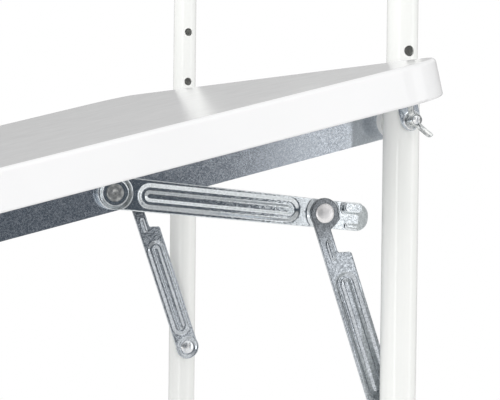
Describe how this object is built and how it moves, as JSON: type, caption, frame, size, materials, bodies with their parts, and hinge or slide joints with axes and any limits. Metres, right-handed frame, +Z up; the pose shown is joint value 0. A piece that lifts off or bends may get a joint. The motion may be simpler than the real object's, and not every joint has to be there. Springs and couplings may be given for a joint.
{
  "type": "balcony railing table",
  "caption": "White moulded folding bar table that hangs on a balcony railing by bent tube hooks, with galvanised aprons and folding braces.",
  "frame": {"origin": "on top of the railing, midway between the two hooks and midway across the hooks' mouth", "axes": "+X along the railing, -Y towards the person at the table, +Z up"},
  "size_m": [0.61, 0.5663, 0.538],
  "materials": {
    "white_moulded_plastic": "smooth satin gloss",
    "white_powder_coat": "gloss powder coat",
    "galvanised_sheet": "spangled zinc coat",
    "zinc_plated_steel": "bright zinc plate",
    "white_nylon": "matt",
    "grey_plastic": "matt"
  },
  "bodies": {
    "frame": {"post_right": "white_powder_coat", "post_left": "white_powder_coat", "hook_right": "white_powder_coat", "hook_left": "white_powder_coat", "hook_cap_right": "grey_plastic", "hook_cap_left": "grey_plastic", "foot_cap_right": "grey_plastic", "foot_cap_left": "grey_plastic", "crossbar_plug_right": "grey_plastic", "crossbar_plug_left": "grey_plastic", "crossbar_saddle_right": "grey_plastic", "crossbar_saddle_left": "grey_plastic", "pivot_bolt_right": "zinc_plated_steel", "pivot_bolt_left": "zinc_plated_steel", "pivot_washer_right": "zinc_plated_steel", "pivot_washer_left": "zinc_plated_steel", "pivot_spacer_right": "white_nylon", "pivot_spacer_left": "white_nylon", "foot_bolt_right": "zinc_plated_steel", "foot_bolt_left": "zinc_plated_steel", "foot_nut_right": "zinc_plated_steel", "foot_nut_left": "zinc_plated_steel", "foot_spacer_right": "white_nylon", "foot_spacer_left": "white_nylon", "crossbar": "white_powder_coat", "crossbar_fasteners": "zinc_plated_steel"},
    "table": {"tabletop": "white_moulded_plastic", "tabletop_screws": "zinc_plated_steel", "apron_right": "galvanised_sheet", "apron_left": "galvanised_sheet", "pivot_ear_right": "galvanised_sheet", "pivot_ear_left": "galvanised_sheet"},
    "lower_brace_right": {"lower_link_right": "galvanised_sheet", "knee_rivet_right": "zinc_plated_steel"},
    "upper_brace_right": {"upper_link_right": "galvanised_sheet", "apron_rivet_right": "zinc_plated_steel"},
    "wing_right": {"wing_nut_right": "zinc_plated_steel"},
    "lower_brace_left": {"lower_link_left": "galvanised_sheet", "knee_rivet_left": "zinc_plated_steel"},
    "upper_brace_left": {"upper_link_left": "galvanised_sheet", "apron_rivet_left": "zinc_plated_steel"},
    "wing_left": {"wing_nut_left": "zinc_plated_steel"}
  },
  "joints": [
    {"name": "table_fold", "type": "hinge", "parent": "frame", "child": "table", "pos_m": [0, -0.04453, -0.18], "axis": [1, 0, 0], "range_deg": [-14.4, 75.6]},
    {"name": "foot_pivot_right", "type": "hinge", "parent": "frame", "child": "lower_brace_right", "pos_m": [0.185, -0.04453, -0.364], "axis": [1, 0, 0], "range_deg": [-21.6, 4.2]},
    {"name": "knee_right", "type": "hinge", "parent": "lower_brace_right", "child": "upper_brace_right", "pos_m": [0.183, -0.08907, -0.2372], "axis": [1, 0, 0], "range_deg": [-22.8, 119.2]},
    {"name": "wing_nut_turn_right", "type": "hinge", "parent": "frame", "child": "wing_right", "pos_m": [0.217, -0.04453, -0.18], "axis": [1, 0, 0], "continuous": true},
    {"name": "foot_pivot_left", "type": "hinge", "parent": "frame", "child": "lower_brace_left", "pos_m": [-0.185, -0.04453, -0.364], "axis": [1, 0, 0], "range_deg": [-21.6, 4.2]},
    {"name": "knee_left", "type": "hinge", "parent": "lower_brace_left", "child": "upper_brace_left", "pos_m": [-0.183, -0.08907, -0.2372], "axis": [1, 0, 0], "range_deg": [-22.8, 119.2]},
    {"name": "wing_nut_turn_left", "type": "hinge", "parent": "frame", "child": "wing_left", "pos_m": [-0.217, -0.04453, -0.18], "axis": [-1, 0, 0], "continuous": true}
  ],
  "couplings": [
    {"joint": "foot_pivot_right", "follows": "table_fold", "ratio": -0.285},
    {"joint": "knee_right", "follows": "table_fold", "ratio": 1.576},
    {"joint": "foot_pivot_left", "follows": "table_fold", "ratio": -0.285},
    {"joint": "knee_left", "follows": "table_fold", "ratio": 1.576}
  ]
}
